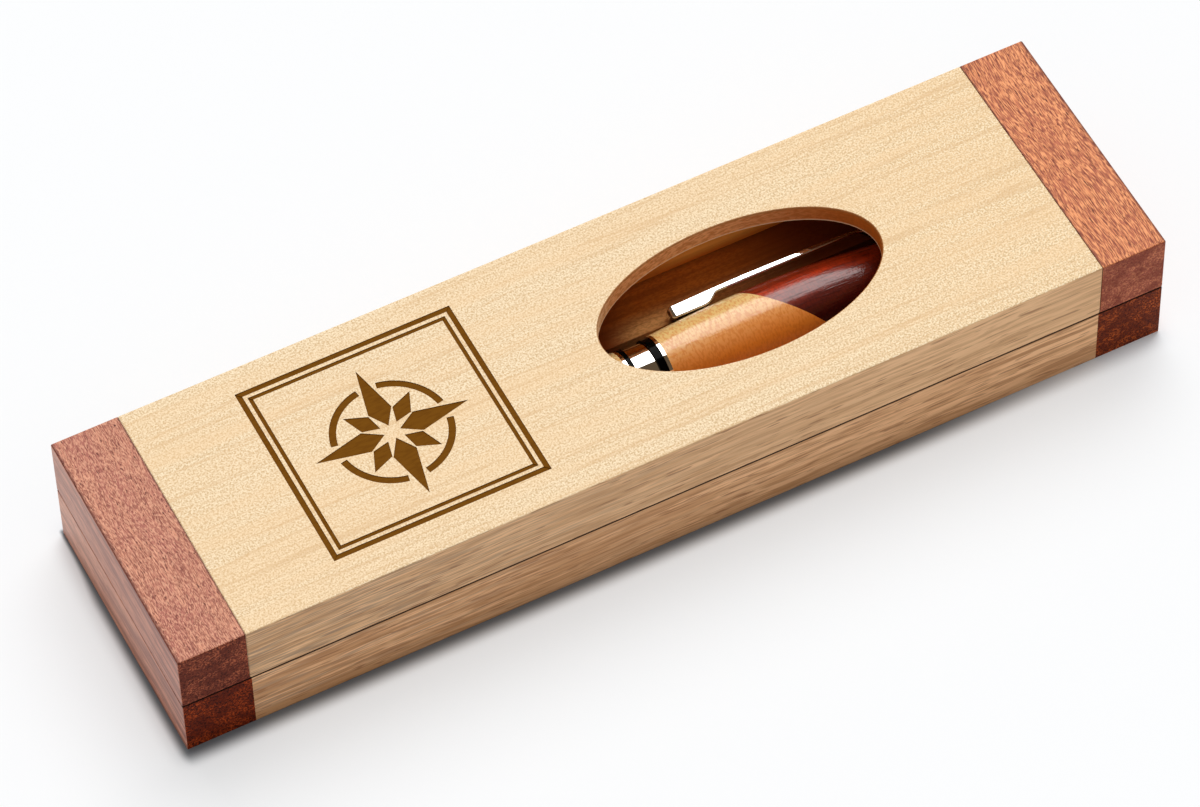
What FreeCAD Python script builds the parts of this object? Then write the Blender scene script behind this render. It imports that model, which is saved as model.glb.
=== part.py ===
"""A hinged two-wood pen box with an oval window in its lid, and the twist pen that lies in it.

Millimetres, +Z up. The origin is the centre of the box's underside: X runs along the box, with the
pen's point towards -X, and +Y is the hinge side. The lid is shut.
"""

import FreeCAD
import Part

import math
import os

from FreeCAD import Vector

# Box: two equal halves, each a light middle block between two dark end blocks
box_length = 178.0
box_width = 48.0
base_height = 12.05
lid_height = 12.05
closing_gap = 0.3
base_end_length = 12.1
lid_end_length = 11.8
outer_ease = 0.25
closing_ease = 0.15

# Lid pocket, and the oval window cut through the wall over it
lid_wall = 3.3
pocket_width = 34.0
pocket_corner = 6.0
window_x = 23.2
window_length = 50.4
window_width = 26.6
window_ease = 0.3

# Pen groove, cut by a ball-nosed cutter
groove_radius = 7.35
groove_end_room = 3.5
groove_floor = 4.2

# Butt hinges, let in flush on both sides of the closing line
hinge_end_margin = 44.0
leaf_length = 20.0
leaf_thickness = 0.9
leaf_front_margin = 1.2
leaf_side_clearance = 0.1
leaf_corner = 1.0
hinge_axis_proud = 0.4
knuckle_radius = 1.5
knuckle_clearance = 0.2
knuckle_gap = 0.15
middle_knuckle_length = 8.5
pin_radius = 0.75
pin_head_radius = 1.1
pin_head_height = 0.5
pin_press_clearance = 0.02
pin_running_clearance = 0.05

# Countersunk hinge screws, two to a leaf
screw_spacing = 12.0
screw_length = 6.0
screw_radius = 0.7
screw_head_radius = 1.4
screw_head_flat = 0.15
screw_tip_length = 1.4
screw_slot_width = 0.4
screw_slot_depth = 0.35
screw_fit = 0.02

# Catch magnets, a disc in each half near each front corner
magnet_end_margin = 29.0
magnet_radius = 2.5
magnet_thickness = 2.0
magnet_fit = 0.03

# Pen: barrels
pen_clearance = 0.15
barrel_bore = 3.75
tube_wall = 0.45
tube_fit = 0.02
cap_start_x = 8.8
cap_end_x = 57.0
cap_start_radius = 6.15
cap_belly_x = 33.0
cap_belly_radius = 6.8
cap_end_radius = 4.9
lower_start_x = 1.8
lower_end_x = -50.0
lower_start_radius = 5.9
lower_belly_x = -18.0
lower_belly_radius = 6.55
lower_end_radius = 4.25
cap_joint_x = 31.9
lower_joint_x = -21.0
joint_slope = 1.0
joint_turn = 205.0

# Pen: centre band and collar, with their black rings
band_waist_radius = 5.55
band_lip_radius = 6.15
band_lip_length = 0.6
ring_radius = 5.95
ring_depth = 0.9
cap_ring_length = 1.3
collar_ring_length = 0.8
twist_gap = 0.1
collar_length = 1.4

# Pen: twist works
works_fit = 0.03
spindle_neck_radius = 1.9
spindle_plug_length = 12.0
neck_insertion = 6.0
housing_length = 18.0
housing_bore = 1.96
refill_feed = 4.0

# Pen: nib
nib_mouth_x = -69.0
nib_plug_length = 5.0
nib_shoulder_length = 1.2
nib_shoulder_step = 0.35
nib_bore = 1.7
nib_mouth_bore = 1.2
nib_mouth_depth = 5.0
nib_mouth_wall = 0.25
nib_bulge = 0.35

# Pen: refill
refill_radius = 1.5
refill_front_radius = 1.05
refill_shoulder_length = 2.0
refill_point_setback = 1.5
refill_point_length = 3.0
refill_front_length = 7.8
refill_wall = 0.3
ball_radius = 0.4
holder_length = 9.0
holder_radius = 1.9
holder_grip = 6.0
refill_tail_x = -8.0

# Pen: finial, its bushing, and the clip
bushing_length = 6.0
stud_radius = 1.9
clip_ring_length = 1.0
finial_length = 7.0
finial_radius = 4.75
finial_neck_radius = 4.4
finial_end_radius = 4.6
finial_crown_length = 1.9
finial_flat_radius = 2.2
clip_angle = 20.0
clip_tip_x = 13.6
clip_foot_x = 20.7
clip_foot_clearance = 0.1
clip_neck_x = 22.6
clip_crest_x = 26.0
clip_bend_length = 8.0
clip_stand_off = 2.66
clip_thickness = 1.1
clip_end_thickness = 0.5
clip_tip_drop = 0.3
clip_half_width = 1.36
clip_side_lean = 8.0
clip_tip_round = 1.1
clip_foot_round = 3.0
clip_neck_round = 1.2
clip_bend_round = 3.0
clip_edge_round = 0.25

# Places that follow from the sizes above
lid_bottom = base_height + closing_gap
box_height = lid_bottom + lid_height
half_length = box_length / 2
half_width = box_width / 2
hinge_x = half_length - hinge_end_margin
magnet_x = half_length - magnet_end_margin
hinge_y = half_width + hinge_axis_proud
hinge_z = base_height + closing_gap / 2
leaf_front_y = pocket_width / 2 + leaf_front_margin
screw_y = (leaf_front_y + hinge_y - knuckle_radius - knuckle_clearance) / 2
magnet_y = -(half_width + pocket_width / 2) / 2
belly_radius = max(cap_belly_radius, lower_belly_radius)
pen_z = groove_floor + belly_radius + pen_clearance
tube_radius = barrel_bore - tube_fit
tube_bore = tube_radius - tube_wall
works_radius = tube_bore - works_fit
twist_x = lower_start_x + collar_length
clip_ring_x = cap_end_x
finial_x = clip_ring_x + clip_ring_length
finial_end_x = finial_x + finial_length
clip_stem_radius = cap_belly_radius + clip_stand_off - clip_thickness
groove_reach = max(finial_end_x, -nib_mouth_x) + groove_end_room
pocket_length = 2 * groove_reach

AXIS_X = Vector(1, 0, 0)
PEN_POINT = Vector(0, 0, pen_z)


# General shaping

def block(x0, x1, y0, y1, z0, z1):
    """A rectangular block between two corners."""
    return Part.makeBox(x1 - x0, y1 - y0, z1 - z0, Vector(x0, y0, z0))


def rod(x0, x1, radius, y, z):
    """A round bar along X."""
    return Part.makeCylinder(radius, x1 - x0, Vector(x0, y, z), AXIS_X)


def post(x, y, z0, z1, radius):
    """A round bar along Z."""
    return Part.makeCylinder(radius, z1 - z0, Vector(x, y, z0))


def fused(shapes):
    """The shapes joined into one, with no leftover seams."""
    first, *rest = shapes
    return first.multiFuse(rest).removeSplitter() if rest else first


def level_edges(shape, z):
    """The edges of a shape that lie flat at height z."""
    near = 1e-4
    return [e for e in shape.Edges if abs(e.BoundBox.ZMin - z) < near and abs(e.BoundBox.ZMax - z) < near]


def rounded_slot(length, width, corner, z0, z1):
    """A pocket shape centred on the origin, with round corners, standing from z0 to z1."""
    slot = block(-length / 2, length / 2, -width / 2, width / 2, z0, z1)
    upright = [e for e in slot.Edges if e.BoundBox.ZLength > (z1 - z0) / 2]
    return slot.makeFillet(corner, upright)


def turned(start, *steps):
    """A piece turned about the pen's axis. A step is an end point (x, r), or (middle, end) for an arc."""
    def at(point):
        return Vector(point[0], 0, pen_z + point[1])

    edges = []
    here = start
    for step in [*steps, start]:
        if isinstance(step[0], tuple):
            middle, end = step
            edges.append(Part.Arc(at(here), at(middle), at(end)).toShape())
        else:
            end = step
            edges.append(Part.makeLine(at(here), at(end)))
        here = end
    return Part.Face(Part.Wire(edges)).revolve(PEN_POINT, AXIS_X, 360)


def sleeve(x0, x1, outer, inner):
    """A plain tube on the pen's axis."""
    return turned((x0, inner), (x0, outer), (x1, outer), (x1, inner))


def arc_radius(x, start, middle, end):
    """The height at x of the arc through three (x, r) points."""
    circle = Part.Arc(*[Vector(p[0], p[1], 0) for p in (start, middle, end)]).toShape().Curve
    return circle.Center.y + math.sqrt(circle.Radius ** 2 - (x - circle.Center.x) ** 2)


# Box halves: each is one glued-up blank, eased, then divided at the glue lines

def half_blank(bottom, height, outer_z, closing_z):
    blank = block(-half_length, half_length, -half_width, half_width, bottom, bottom + height)
    upright = [e for e in blank.Edges if e.BoundBox.ZLength > height / 2]
    blank = blank.makeFillet(outer_ease, upright + level_edges(blank, outer_z))
    return blank.makeFillet(closing_ease, level_edges(blank, closing_z))


def divided(blank, end_length):
    """The left end, middle and right end of a blank."""
    glue_x = half_length - end_length
    cuts = [(-half_length, -glue_x), (-glue_x, glue_x), (glue_x, half_length)]
    return [blank.common(block(x0, x1, -half_width, half_width, 0, box_height)) for x0, x1 in cuts]


def groove():
    """The pen's bed: a half-round channel with ball ends, and upright walls above its axis."""
    axis_z = groove_floor + groove_radius
    reach = groove_reach
    straight = reach - groove_radius
    slant = groove_radius * math.sqrt(0.5)
    top_z = axis_z + groove_radius
    ends = [Vector(-reach, 0, axis_z), Vector(reach, 0, axis_z)]
    bed = Part.Wire([
        Part.Arc(ends[0], Vector(-straight - slant, 0, axis_z + slant), Vector(-straight, 0, top_z)).toShape(),
        Part.makeLine(Vector(-straight, 0, top_z), Vector(straight, 0, top_z)),
        Part.Arc(Vector(straight, 0, top_z), Vector(straight + slant, 0, axis_z + slant), ends[1]).toShape(),
        Part.makeLine(ends[1], ends[0]),
    ])
    channel = Part.Face(bed).revolve(ends[0], AXIS_X, 360)
    walls = fused([
        block(-straight, straight, -groove_radius, groove_radius, axis_z, box_height),
        post(-straight, 0, axis_z, box_height, groove_radius),
        post(straight, 0, axis_z, box_height, groove_radius),
    ])
    return [channel, walls]


def window():
    """The oval through the lid's wall, with the eased upper edge left on the wood."""
    middle = Vector(window_x, 0, lid_bottom)
    outline = Part.Ellipse(middle, window_length / 2, window_width / 2).toShape()
    return Part.Face(Part.Wire([outline])).extrude(Vector(0, 0, lid_height + window_ease))


# Hinges

def hinge_spans(x):
    """The outer, middle and outer knuckle spans of a hinge centred at x, along X."""
    half_leaf = leaf_length / 2
    half_middle = middle_knuckle_length / 2
    outer = half_middle + knuckle_gap
    return [(x - half_leaf, x - outer), (x - half_middle, x + half_middle), (x + outer, x + half_leaf)]


def hinge_leaf(x, z0, z1, own, others, bore):
    """A leaf: its plate, the knuckles it carries, and room for the other leaf's knuckles."""
    plate = block(x - leaf_length / 2, x + leaf_length / 2, leaf_front_y, hinge_y, z0, z1)
    front = [e for e in plate.Edges if e.BoundBox.ZLength > 0 and e.BoundBox.YMax < hinge_y - knuckle_radius]
    front = [e for e in front if e.BoundBox.XLength + e.BoundBox.YLength < leaf_side_clearance]
    plate = plate.makeFillet(leaf_corner, front)
    for x0, x1 in others:
        room = rod(x0 - knuckle_gap, x1 + knuckle_gap, knuckle_radius + knuckle_clearance, hinge_y, hinge_z)
        plate = plate.cut(room)
    leaf = fused([plate] + [rod(x0, x1, knuckle_radius, hinge_y, hinge_z) for x0, x1 in own])
    leaf = leaf.cut(rod(x - leaf_length, x + leaf_length, bore, hinge_y, hinge_z))
    return leaf


def hinge_pin(x):
    """A pin with a low head at each end."""
    half_leaf = leaf_length / 2
    shank = rod(x - half_leaf, x + half_leaf, pin_radius, hinge_y, hinge_z)
    heads = [rod(x - half_leaf - pin_head_height, x - half_leaf, pin_head_radius, hinge_y, hinge_z),
             rod(x + half_leaf, x + half_leaf + pin_head_height, pin_head_radius, hinge_y, hinge_z)]
    return fused([shank, *heads])


def hinge_room(x, z0, z1):
    """What is cut from a block of wood to let a hinge in: the leaf's bed and the knuckles' round relief."""
    side = leaf_length / 2 + leaf_side_clearance
    ends = leaf_length / 2 + pin_head_height + leaf_side_clearance
    bed = block(x - side, x + side, leaf_front_y - leaf_side_clearance, hinge_y, z0, z1)
    relief = rod(x - ends, x + ends, knuckle_radius + knuckle_clearance, hinge_y, hinge_z)
    return [bed, relief]


# Screws: built point down with the head at z = 0, then set upright or turned over

def screw_blank(fit):
    shank = screw_radius + fit
    head = screw_head_radius + fit
    cone = -screw_head_flat - (head - shank)
    corners = [(0, 0), (head, 0), (head, -screw_head_flat), (shank, cone),
               (shank, screw_tip_length - screw_length), (0, -screw_length - fit), (0, 0)]
    outline = Part.makePolygon([Vector(r, 0, z) for r, z in corners])
    return Part.Face(outline).revolve(Vector(0, 0, 0), Vector(0, 0, 1), 360)


def screw():
    slot = block(-screw_head_radius, screw_head_radius, -screw_slot_width / 2, screw_slot_width / 2,
                 -screw_slot_depth, screw_slot_depth)
    return screw_blank(0).cut(slot)


def screw_places():
    return [(side * hinge_x + step * screw_spacing / 2) for side in (-1, 1) for step in (-1, 1)]


def set_screws(shape, z, upside_down):
    """A copy of the screw shape at each screw's place, at the height of its leaf's face."""
    placed = []
    for x in screw_places():
        copy = shape.copy()
        if upside_down:
            copy.rotate(Vector(0, 0, 0), AXIS_X, 180)
        copy.translate(Vector(x, screw_y, z))
        placed.append(copy)
    return placed


# Catch magnets

def magnet(x, z0, fit=0.0):
    return post(x, magnet_y, z0 - fit, z0 + magnet_thickness + fit, magnet_radius + fit)


# The two halves

def base_pieces():
    left, middle, right = divided(half_blank(0, base_height, 0, base_height), base_end_length)
    bed_z = base_height - leaf_thickness
    tools = groove()
    for side in (-1, 1):
        tools += hinge_room(side * hinge_x, bed_z, box_height)
        tools.append(magnet(side * magnet_x, base_height - magnet_thickness, magnet_fit))
    tools += set_screws(screw_blank(screw_fit), base_height, False)
    for tool in tools:
        middle = middle.cut(tool)
    return {"base_block": middle, "base_end_left": left, "base_end_right": right}


def lid_pieces():
    blank = half_blank(lid_bottom, lid_height, box_height, lid_bottom)
    left, middle, right = divided(blank, lid_end_length)
    middle = middle.cut(window())
    rim = [e for e in level_edges(middle, box_height) if e.BoundBox.DiagonalLength < half_length]
    middle = middle.makeFillet(window_ease, rim)
    bed_z = lid_bottom + leaf_thickness
    tools = [rounded_slot(pocket_length, pocket_width, pocket_corner, 0, box_height - lid_wall)]
    for side in (-1, 1):
        tools += hinge_room(side * hinge_x, 0, bed_z)
        tools.append(magnet(side * magnet_x, lid_bottom, magnet_fit))
    tools += set_screws(screw_blank(screw_fit), lid_bottom, True)
    for tool in tools:
        middle = middle.cut(tool)
    return {"lid_panel": middle, "lid_end_left": left, "lid_end_right": right}


def hinge_pieces():
    pieces = {}
    countersink = {
        "base": set_screws(screw_blank(screw_fit), base_height, False),
        "lid": set_screws(screw_blank(screw_fit), lid_bottom, True),
    }
    for name, side in (("left", -1), ("right", 1)):
        x = side * hinge_x
        first, middle, last = hinge_spans(x)
        base_leaf = hinge_leaf(x, base_height - leaf_thickness, base_height, [first, last], [middle],
                               pin_radius + pin_press_clearance)
        lid_leaf = hinge_leaf(x, lid_bottom, lid_bottom + leaf_thickness, [middle], [first, last],
                              pin_radius + pin_running_clearance)
        pieces[f"hinge_{name}_base_leaf"] = base_leaf.cut(countersink["base"])
        pieces[f"hinge_{name}_lid_leaf"] = lid_leaf.cut(countersink["lid"])
        pieces[f"hinge_{name}_pin"] = hinge_pin(x)
    pieces["base_hinge_screws"] = Part.makeCompound(set_screws(screw(), base_height, False))
    pieces["lid_hinge_screws"] = Part.makeCompound(set_screws(screw(), lid_bottom, True))
    return pieces


def magnet_pieces():
    pieces = {}
    for name, side in (("left", -1), ("right", 1)):
        pieces[f"base_magnet_{name}"] = magnet(side * magnet_x, base_height - magnet_thickness)
        pieces[f"lid_magnet_{name}"] = magnet(side * magnet_x, lid_bottom)
    return pieces


# Pen barrels: two woods glued on a slant, turned as one, on a brass tube

def slant_half(joint_x, turn, towards):
    """A large half-space on one side of the slanted glue plane; towards is -1 or +1 along X."""
    size = box_length
    half = block(0, size, -size, size, -size, size)
    angle = math.degrees(math.atan(joint_slope))
    half.rotate(Vector(0, 0, 0), Vector(0, 0, 1), -angle)
    if towards < 0:
        half.rotate(Vector(0, 0, 0), Vector(0, 0, 1), 180)
    half.rotate(Vector(0, 0, 0), AXIS_X, turn)
    half.translate(Vector(joint_x, 0, pen_z))
    return half


def barrel(x0, r0, middle, x1, r1):
    return turned((x0, barrel_bore), (x0, r0), (middle, (x1, r1)), (x1, barrel_bore))


cap_profile = [(cap_start_x, cap_start_radius), (cap_belly_x, cap_belly_radius), (cap_end_x, cap_end_radius)]
lower_profile = [(lower_start_x, lower_start_radius), (lower_belly_x, lower_belly_radius),
                 (lower_end_x, lower_end_radius)]


def barrel_pieces():
    cap = barrel(*cap_profile[0], cap_profile[1], *cap_profile[2])
    lower = barrel(*lower_profile[0], lower_profile[1], *lower_profile[2])
    return {
        "cap_barrel_maple": cap.common(slant_half(cap_joint_x, joint_turn, -1)),
        "cap_barrel_rosewood": cap.common(slant_half(cap_joint_x, joint_turn, 1)),
        "lower_barrel_maple": lower.common(slant_half(lower_joint_x, joint_turn, 1)),
        "lower_barrel_rosewood": lower.common(slant_half(lower_joint_x, joint_turn, -1)),
        "cap_tube": sleeve(cap_start_x, cap_end_x, tube_radius, tube_bore),
        "lower_tube": sleeve(lower_end_x, lower_start_x, tube_radius, tube_bore),
    }


def band_pieces():
    """The cap's centre band and the lower barrel's collar, each a bright turning with a black ring let in."""
    floor = ring_radius - ring_depth
    ring_x = cap_start_x - band_lip_length - cap_ring_length
    bore = spindle_neck_radius + works_fit
    band = turned((twist_x + twist_gap, bore), (twist_x + twist_gap, band_waist_radius),
                  (ring_x, band_waist_radius), (ring_x, floor), (ring_x + cap_ring_length, floor),
                  (ring_x + cap_ring_length, band_lip_radius), (cap_start_x, band_lip_radius),
                  (cap_start_x, bore))
    lip_x = lower_start_x + collar_length - collar_ring_length
    collar = turned((lower_start_x, bore), (lower_start_x, lower_start_radius), (lip_x, lower_start_radius),
                    (lip_x, floor), (twist_x, floor), (twist_x, bore))
    return {
        "centre_band": band,
        "centre_band_ring": sleeve(ring_x, ring_x + cap_ring_length, ring_radius, floor),
        "twist_collar": collar,
        "twist_collar_ring": sleeve(lip_x, twist_x, ring_radius, floor),
    }


def twist_pieces():
    """The spindle plugged into the cap's tube, and the housing pressed into the lower tube."""
    neck_end = lower_start_x - neck_insertion
    plug_end = cap_start_x + spindle_plug_length
    spindle = turned((neck_end, 0), (neck_end, spindle_neck_radius), (cap_start_x, spindle_neck_radius),
                     (cap_start_x, works_radius), (plug_end, works_radius), (plug_end, 0))
    housing = sleeve(lower_start_x - housing_length, lower_start_x, works_radius, housing_bore)
    return {"twist_spindle": spindle, "twist_housing": housing}


def nib():
    plug_x = lower_end_x + nib_plug_length
    shoulder_x = lower_end_x - nib_shoulder_length
    cone_start = (shoulder_x, lower_end_radius - nib_shoulder_step)
    cone_end = (nib_mouth_x, nib_mouth_bore + nib_mouth_wall)
    cone_middle = ((cone_start[0] + cone_end[0]) / 2, (cone_start[1] + cone_end[1]) / 2 + nib_bulge)
    step_x = nib_mouth_x + nib_mouth_depth
    return turned((plug_x, nib_bore), (plug_x, works_radius), (lower_end_x, works_radius),
                  (lower_end_x, lower_end_radius), (shoulder_x, lower_end_radius), cone_start,
                  (cone_middle, cone_end), (nib_mouth_x, nib_mouth_bore), (step_x, nib_mouth_bore),
                  (step_x, nib_bore))


def refill_pieces():
    """The ink tube, its writing point, and the holder that the twist works push."""
    point_x = nib_mouth_x + refill_point_setback
    cone_x = point_x + refill_point_length
    front_x = cone_x + refill_front_length - refill_point_length
    body_x = front_x + refill_shoulder_length
    ball_side = (point_x + ball_radius, ball_radius)
    ball_middle = (point_x + ball_radius * (1 - math.sqrt(0.5)), ball_radius * math.sqrt(0.5))
    point = turned((point_x, 0), (ball_middle, ball_side), (cone_x, refill_front_radius),
                   (front_x, refill_front_radius), (front_x, 0))
    tube = turned((front_x, 0), (front_x, refill_front_radius), (body_x, refill_radius),
                  (refill_tail_x, refill_radius), (refill_tail_x, refill_radius - refill_wall),
                  (body_x, refill_radius - refill_wall), (body_x, 0))
    holder_x = refill_tail_x - holder_grip
    holder = turned((holder_x, refill_radius), (holder_x, holder_radius),
                    (holder_x + holder_length, holder_radius), (holder_x + holder_length, 0),
                    (refill_tail_x, 0), (refill_tail_x, refill_radius))
    return {"refill_point": point, "refill_tube": tube, "refill_holder": holder}


def finial_pieces():
    bushing_x = cap_end_x - bushing_length
    bushing = sleeve(bushing_x, cap_end_x, works_radius, stud_radius + works_fit)
    crown_x = finial_end_x - finial_crown_length
    bend = math.sqrt(0.5)
    crown_middle = (crown_x + finial_crown_length * bend,
                    finial_flat_radius + (finial_end_radius - finial_flat_radius) * bend)
    finial = turned((bushing_x, 0), (bushing_x, stud_radius), (finial_x, stud_radius),
                    (finial_x, finial_neck_radius),
                    (((finial_x + crown_x) / 2, finial_radius), (crown_x, finial_end_radius)),
                    (crown_middle, (finial_end_x, finial_flat_radius)), (finial_end_x, 0))
    return {"cap_bushing": bushing, "finial": finial}


# Clip: a cast strap with a solid foot, on the ring clamped under the finial

def clip_side():
    """The strap seen from its side: a blunt foot, a straight stem under a long curved back, a bend to the ring."""
    foot_z = arc_radius(clip_foot_x, *cap_profile) + clip_foot_clearance
    crest_z = clip_stem_radius + clip_thickness
    root_z = cap_end_radius - clip_thickness
    bend_x = clip_ring_x - clip_bend_length
    tip_top = (clip_tip_x, crest_z - clip_tip_drop)
    tip_low = (clip_tip_x, foot_z)
    foot = (clip_foot_x, foot_z)
    neck = (clip_neck_x, clip_stem_radius)
    bend_inside = (bend_x, clip_stem_radius)
    bend_outside = (bend_x + clip_end_thickness, clip_stem_radius + clip_end_thickness)
    root = [(clip_ring_x, cap_end_radius), (clip_ring_x, root_z), (finial_x, root_z),
            (finial_x, cap_end_radius + clip_thickness)]

    def at(point):
        return Vector(point[0], 0, pen_z + point[1])

    under = Part.makePolygon([at(p) for p in (tip_top, tip_low, foot, neck, bend_inside, *root, bend_outside)])
    back = Part.Arc(at(bend_outside), at((clip_crest_x, crest_z)), at(tip_top)).toShape()
    strap = Part.Face(Part.Wire([*under.Edges, back])).extrude(Vector(0, 4 * clip_half_width, 0))
    strap.translate(Vector(0, -2 * clip_half_width, 0))
    rounds = [(tip_top, clip_tip_round), (tip_low, clip_tip_round), (foot, clip_foot_round),
              (neck, clip_neck_round), (bend_inside, clip_bend_round), (bend_outside, clip_bend_round)]
    for corner, radius in rounds:
        strap = strap.makeFillet(radius, edges_across(strap, *at(corner)))
    return strap


def edges_across(shape, x, y, z):
    """The edges along Y that pass through a place."""
    near = 1e-4
    return [e for e in shape.Edges if e.BoundBox.YLength > near
            and max(abs(e.BoundBox.XMin - x), abs(e.BoundBox.XMax - x)) < near
            and max(abs(e.BoundBox.ZMin - z), abs(e.BoundBox.ZMax - z)) < near]


def slimmed(strap):
    """The strap between sides that lean in towards its back, with a round free end and soft long edges."""
    low_z = strap.BoundBox.ZMin
    high_z = strap.BoundBox.ZMax
    lean = math.tan(math.radians(clip_side_lean))
    low_half = clip_half_width + lean * (pen_z + clip_stem_radius - low_z)
    high_half = clip_half_width - lean * (high_z - pen_z - clip_stem_radius)
    section = [(-low_half, low_z), (low_half, low_z), (high_half, high_z), (-high_half, high_z)]
    corners = [Vector(clip_tip_x, y, z) for y, z in [*section, section[0]]]
    room = Part.Face(Part.makePolygon(corners)).extrude(Vector(finial_x - clip_tip_x, 0, 0))
    tip_edges = [e for e in room.Edges if e.BoundBox.XMax < clip_foot_x and e.BoundBox.ZLength > clip_thickness]
    strap = strap.common(room.makeFillet(0.9 * high_half, tip_edges))
    return strap.makeFillet(clip_edge_round, [e for e in strap.Edges if e.BoundBox.XMax < clip_ring_x])


def clip():
    ring = sleeve(clip_ring_x, finial_x, cap_end_radius, stud_radius + works_fit)
    whole = fused([slimmed(clip_side()), ring])
    whole.rotate(PEN_POINT, AXIS_X, clip_angle - 90)
    return whole


def pen_pieces():
    return {**barrel_pieces(), **band_pieces(), **twist_pieces(), "nib": nib(), **refill_pieces(),
            **finial_pieces(), "clip": clip()}


def all_pieces():
    return {**base_pieces(), **lid_pieces(), **hinge_pieces(), **magnet_pieces(), **pen_pieces()}


os.makedirs("parts", exist_ok=True)
for name, shape in all_pieces().items():
    shape.exportStep(os.path.join("parts", f"{name}.step"))
    print(f"{name}: {len(shape.Solids)} solid(s), {shape.Volume:.2f} mm3, valid {shape.isValid()}")
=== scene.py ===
import math

import bmesh
import bpy
from mathutils import Matrix, Vector


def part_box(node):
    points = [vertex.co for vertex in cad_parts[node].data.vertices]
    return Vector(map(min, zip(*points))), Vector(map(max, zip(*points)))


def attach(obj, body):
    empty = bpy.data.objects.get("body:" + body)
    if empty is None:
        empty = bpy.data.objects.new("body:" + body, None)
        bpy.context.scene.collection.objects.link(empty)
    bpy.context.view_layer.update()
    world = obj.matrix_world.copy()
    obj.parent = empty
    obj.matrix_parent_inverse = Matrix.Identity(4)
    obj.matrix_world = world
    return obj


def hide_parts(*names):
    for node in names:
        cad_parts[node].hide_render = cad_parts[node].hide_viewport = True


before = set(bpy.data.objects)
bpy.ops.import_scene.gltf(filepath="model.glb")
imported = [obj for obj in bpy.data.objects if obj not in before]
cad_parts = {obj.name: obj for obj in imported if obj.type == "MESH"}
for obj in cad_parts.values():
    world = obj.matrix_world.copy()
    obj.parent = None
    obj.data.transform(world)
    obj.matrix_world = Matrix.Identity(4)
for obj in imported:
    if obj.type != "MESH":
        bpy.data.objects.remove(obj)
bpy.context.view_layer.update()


# Base, middle block. The real one is a planed strip of pale maple with its grain along the box,
# grooved for the pen and glued between the two dark ends. It is sanded and thinly oiled.

half_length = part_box("base_end_right")[1][0]
half_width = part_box("base_block")[1][1]
box_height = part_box("lid_panel")[1][2]


def new_finish(name, roughness, metallic=0.0):
    """A material with nodes, and its shader."""
    finish = bpy.data.materials.new(name)
    finish.use_nodes = True
    shader = finish.node_tree.nodes["Principled BSDF"]
    shader.inputs["Roughness"].default_value = roughness
    shader.inputs["Metallic"].default_value = metallic
    return finish, shader


def grain_noise(tree, stretch, shift=0.0, detail=2.0, roughness=0.5, wander=0.0):
    """Noise in the piece's own solid, with so many features to the metre along X, Y and Z.

    wander is how far the grain strays from straight, in metres.
    """
    spot = tree.nodes.new("ShaderNodeTexCoord").outputs["Object"]
    if wander:
        slow = tree.nodes.new("ShaderNodeTexNoise")
        slow.inputs["Scale"].default_value = 42.0
        slow.inputs["Detail"].default_value = 1.0
        tree.links.new(spot, slow.inputs["Vector"])
        stray = tree.nodes.new("ShaderNodeVectorMath")
        stray.operation = "MULTIPLY_ADD"
        stray.inputs[1].default_value = (2 * wander, 2 * wander, 2 * wander)
        tree.links.new(slow.outputs["Color"], stray.inputs[0])
        tree.links.new(spot, stray.inputs[2])
        spot = stray.outputs["Vector"]
    mapping = tree.nodes.new("ShaderNodeMapping")
    mapping.inputs["Scale"].default_value = stretch
    mapping.inputs["Location"].default_value = (shift, shift * 1.7, shift * 0.6)
    noise = tree.nodes.new("ShaderNodeTexNoise")
    noise.inputs["Scale"].default_value = 1.0
    noise.inputs["Detail"].default_value = detail
    noise.inputs["Roughness"].default_value = roughness
    tree.links.new(spot, mapping.inputs["Vector"])
    tree.links.new(mapping.outputs["Vector"], noise.inputs["Vector"])
    return noise.outputs["Fac"]


def between(tree, value, low, high, most=1.0):
    """0 where value is under low, rising smoothly to most where it is over high."""
    span = tree.nodes.new("ShaderNodeMapRange")
    span.interpolation_type = "SMOOTHSTEP"
    span.inputs["From Min"].default_value = low
    span.inputs["From Max"].default_value = high
    span.inputs["To Max"].default_value = most
    tree.links.new(value, span.inputs["Value"])
    return span.outputs["Result"]


def tinted(tree, amount, under, over):
    """The colour under, going over to the colour over by amount. Either is a socket or a plain colour."""
    mix = tree.nodes.new("ShaderNodeMix")
    mix.data_type = "RGBA"
    tree.links.new(amount, mix.inputs["Factor"])
    for name, colour in (("A", under), ("B", over)):
        socket = next(s for s in mix.inputs if s.name == name and s.type == "RGBA")
        if isinstance(colour, tuple):
            socket.default_value = (*colour, 1.0)
        else:
            tree.links.new(colour, socket)
    return next(s for s in mix.outputs if s.type == "RGBA")


def reckon(tree, operation, *values):
    """A Math node. Each value is a socket or a number."""
    node = tree.nodes.new("ShaderNodeMath")
    node.operation = operation
    for socket, value in zip(node.inputs, values):
        if isinstance(value, (int, float)):
            socket.default_value = value
        else:
            tree.links.new(value, socket)
    return node.outputs["Value"]


def own_place(tree):
    """The X, Y and Z of the point being shaded, in the piece's own frame."""
    place = tree.nodes.new("ShaderNodeTexCoord")
    parts = tree.nodes.new("ShaderNodeSeparateXYZ")
    tree.links.new(place.outputs["Object"], parts.inputs["Vector"])
    return parts.outputs["X"], parts.outputs["Y"], parts.outputs["Z"]


def raise_grain(tree, shader, height, depth):
    bump = tree.nodes.new("ShaderNodeBump")
    bump.inputs["Strength"].default_value = 0.6
    bump.inputs["Distance"].default_value = depth
    tree.links.new(height, bump.inputs["Height"])
    tree.links.new(bump.outputs["Normal"], shader.inputs["Normal"])
    return bump.outputs["Normal"]


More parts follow.
